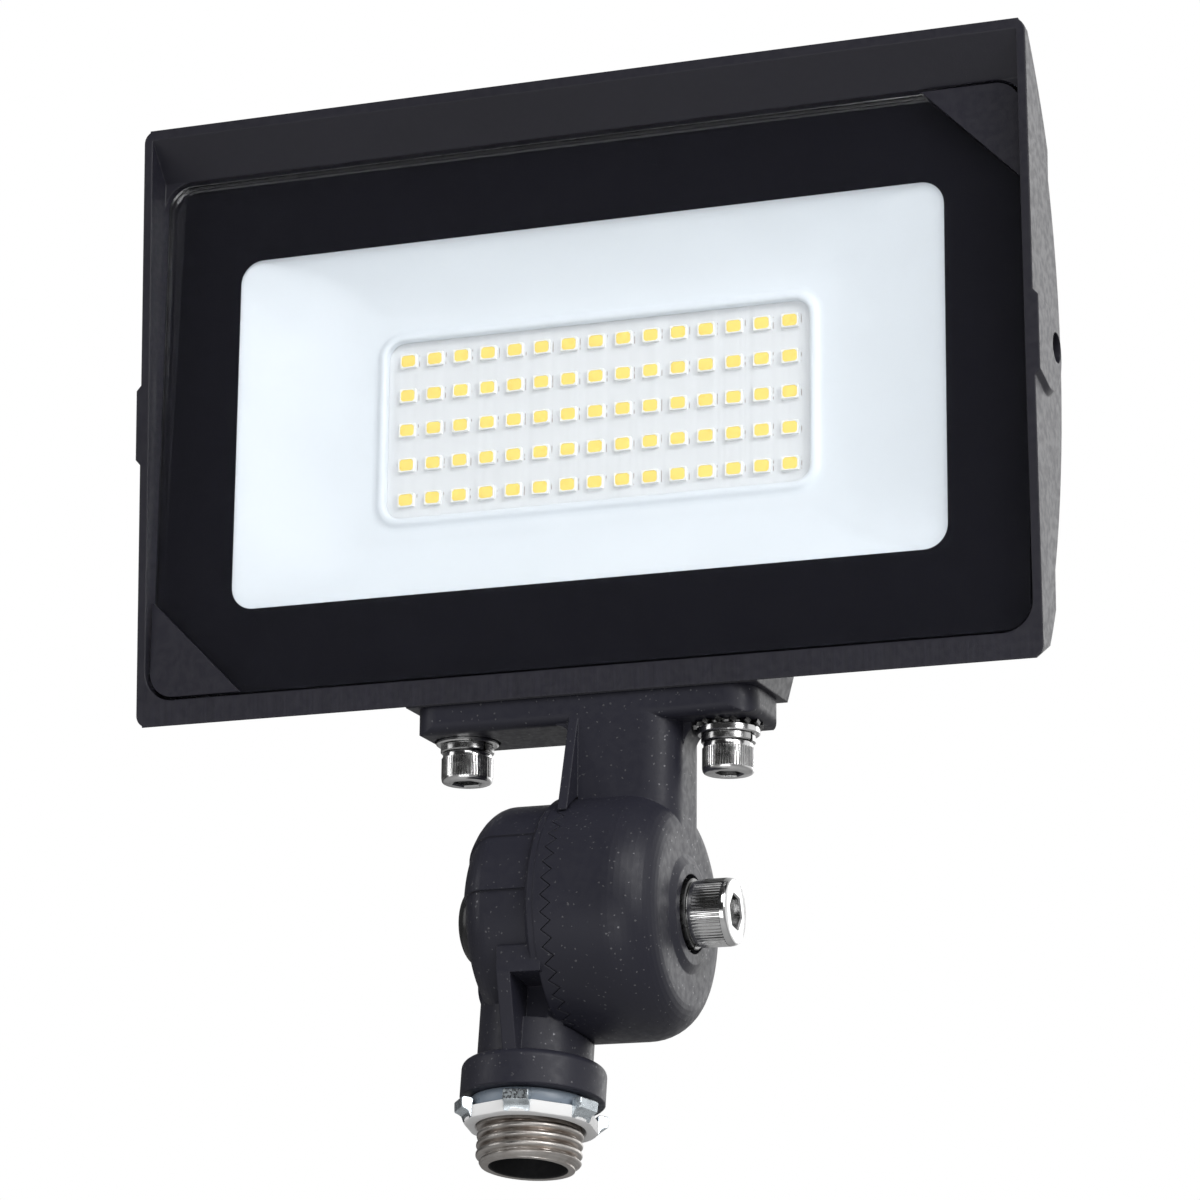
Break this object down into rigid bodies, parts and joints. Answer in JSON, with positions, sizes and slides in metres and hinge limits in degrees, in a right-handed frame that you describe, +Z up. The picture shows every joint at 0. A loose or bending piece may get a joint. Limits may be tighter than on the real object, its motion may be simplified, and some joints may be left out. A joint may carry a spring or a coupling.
{
  "type": "flood light",
  "caption": "Rectangular LED flood light head with a visor and rear fins, on a toothed swivel knuckle with a threaded conduit stem.",
  "frame": {"origin": "on the stem's thread axis, at the underside of the collar that the sealing ring presses on", "axes": "+Z up along the stem, -Y towards the lit side, X along the knuckle's pivot, +X towards the bolt's head"},
  "size_m": [0.19, 0.0641, 0.214],
  "materials": {
    "housing_coat": "fine-textured satin powder coat, near black",
    "knuckle_coat": "satin charcoal powder coat",
    "lens_glass": "clear tempered glass, polished",
    "border_print": "black ceramic print seen through glass",
    "seal_rubber": "matte black rubber",
    "reflector_white": "bluish white, satin",
    "board_white": "white solder mask on an aluminium core",
    "led_body": "white moulded packages",
    "led_phosphor": "yellow phosphor gel",
    "driver_case": "dark potted driver",
    "bright_zinc": "bright zinc plated steel",
    "bolt_chrome": "bright plated steel, polished",
    "dark_steel": "dark oiled spring steel",
    "blue_zinc": "bluish zinc plating",
    "cap_black": "smooth black plastic",
    "nipple_metal": "bare grey die-cast zinc",
    "ring_grey": "blue-grey sealing rubber"
  },
  "bodies": {
    "stem": {"lower_knuckle": "knuckle_coat", "pivot_nut": "blue_zinc", "nut_cap": "cap_black", "nipple": "nipple_metal", "sealing_ring": "ring_grey"},
    "clamp_stack": {"pivot_flat_washer": "bright_zinc", "pivot_spring_washer": "dark_steel"},
    "pivot_bolt": {"pivot_bolt": "bolt_chrome"},
    "locknut": {"locknut": "blue_zinc"},
    "head": {"housing": "housing_coat", "lens_glass": "lens_glass", "lens_border": "border_print", "glass_gasket": "seal_rubber", "lower_glass_clip": "housing_coat", "upper_glass_clip": "housing_coat", "reflector": "reflector_white", "led_board": "board_white", "led_packages": "led_body", "led_phosphor": "led_phosphor", "board_screws": "bright_zinc", "led_driver": "driver_case", "driver_cover": "housing_coat", "cover_gasket": "seal_rubber", "cover_screws": "bright_zinc", "bracket_seal": "seal_rubber", "upper_knuckle": "knuckle_coat", "flange_screws": "bolt_chrome", "flange_spring_washers": "bright_zinc", "flange_tooth_washer": "dark_steel", "flange_flat_washers": "bright_zinc"}
  },
  "joints": [
    {"name": "knuckle_release", "type": "slide", "parent": "stem", "child": "clamp_stack", "axis": [1, 0, 0], "range_m": [0, 0.0025]},
    {"name": "head_tilt", "type": "hinge", "parent": "clamp_stack", "child": "head", "pos_m": [0.0095, 0, 0.0361], "axis": [1, 0, 0], "range_deg": [-88, 88]},
    {"name": "bolt_turn", "type": "hinge", "parent": "clamp_stack", "child": "pivot_bolt", "pos_m": [0.0095, 0, 0.0361], "axis": [1, 0, 0], "range_deg": [0, 721]},
    {"name": "locknut_turn", "type": "hinge", "parent": "stem", "child": "locknut", "pos_m": [0, 0, -0.004], "axis": [0, 0, 1], "continuous": true}
  ],
  "couplings": [
    {"joint": "bolt_turn", "follows": "knuckle_release", "rad_per_m": 5026.5}
  ]
}
